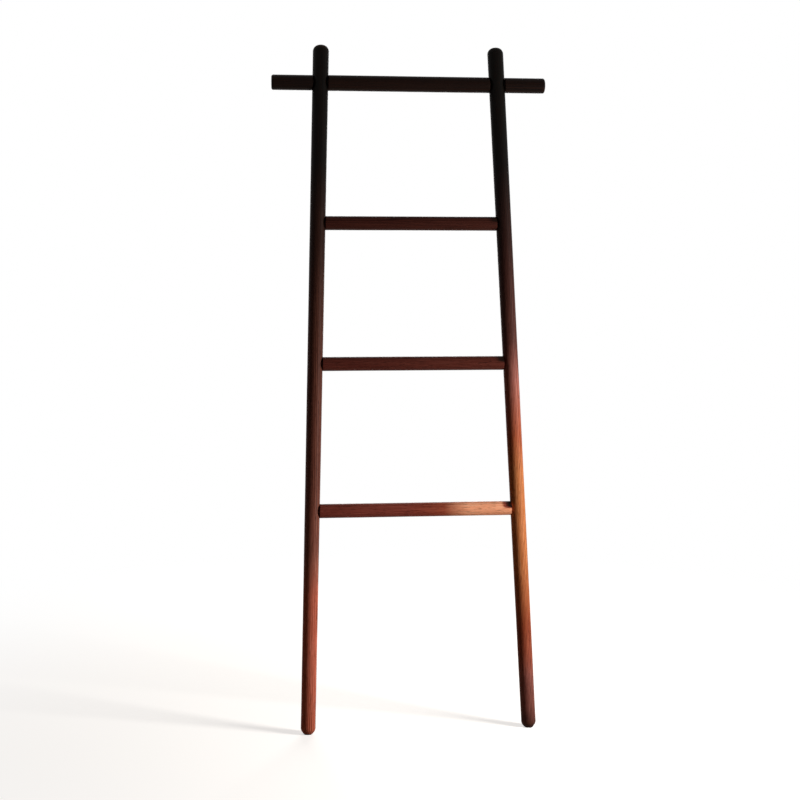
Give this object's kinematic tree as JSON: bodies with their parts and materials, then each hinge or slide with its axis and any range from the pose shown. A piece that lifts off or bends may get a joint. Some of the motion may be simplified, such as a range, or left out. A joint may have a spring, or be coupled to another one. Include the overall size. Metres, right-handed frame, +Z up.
{
  "type": "blanket ladder",
  "caption": "Leaning blanket ladder of round dark hardwood poles: splayed rails with domed tips, a top bar that stands out past both rails, and round rungs between them.",
  "frame": {"origin": "on the floor, midway between the rails and midway between the front of the feet and the wall that the ladder leans on", "axes": "+Z up, X along the rungs, +Y towards the wall; the ladder leans back by 8 degrees"},
  "size_m": [0.688, 0.2715, 1.6803],
  "materials": {
    "rail_wood": "dark red-brown hardwood, turned and oiled to a satin sheen",
    "rung_wood": "dark red-brown hardwood, turned and oiled to a satin sheen",
    "bar_wood": "dark red-brown hardwood, turned and oiled to a satin sheen",
    "peg_wood": "hardwood peg, end grain trimmed flush and oiled",
    "rubber_pad": "matte black moulded rubber"
  },
  "bodies": {
    "root": {"lower_left_peg": "peg_wood", "middle_left_peg": "peg_wood", "upper_left_peg": "peg_wood", "top_left_peg": "peg_wood", "left_rail": "rail_wood", "left_end_peg": "peg_wood", "left_bar_end": "bar_wood", "lower_right_peg": "peg_wood", "middle_right_peg": "peg_wood", "upper_right_peg": "peg_wood", "top_right_peg": "peg_wood", "right_rail": "rail_wood", "right_end_peg": "peg_wood", "right_bar_end": "bar_wood", "top_bar": "bar_wood", "upper_rung": "rung_wood", "middle_rung": "rung_wood", "lower_rung": "rung_wood", "left_foot_pad": "rubber_pad", "left_wall_pad": "rubber_pad", "right_foot_pad": "rubber_pad", "right_wall_pad": "rubber_pad"}
  },
  "joints": []
}
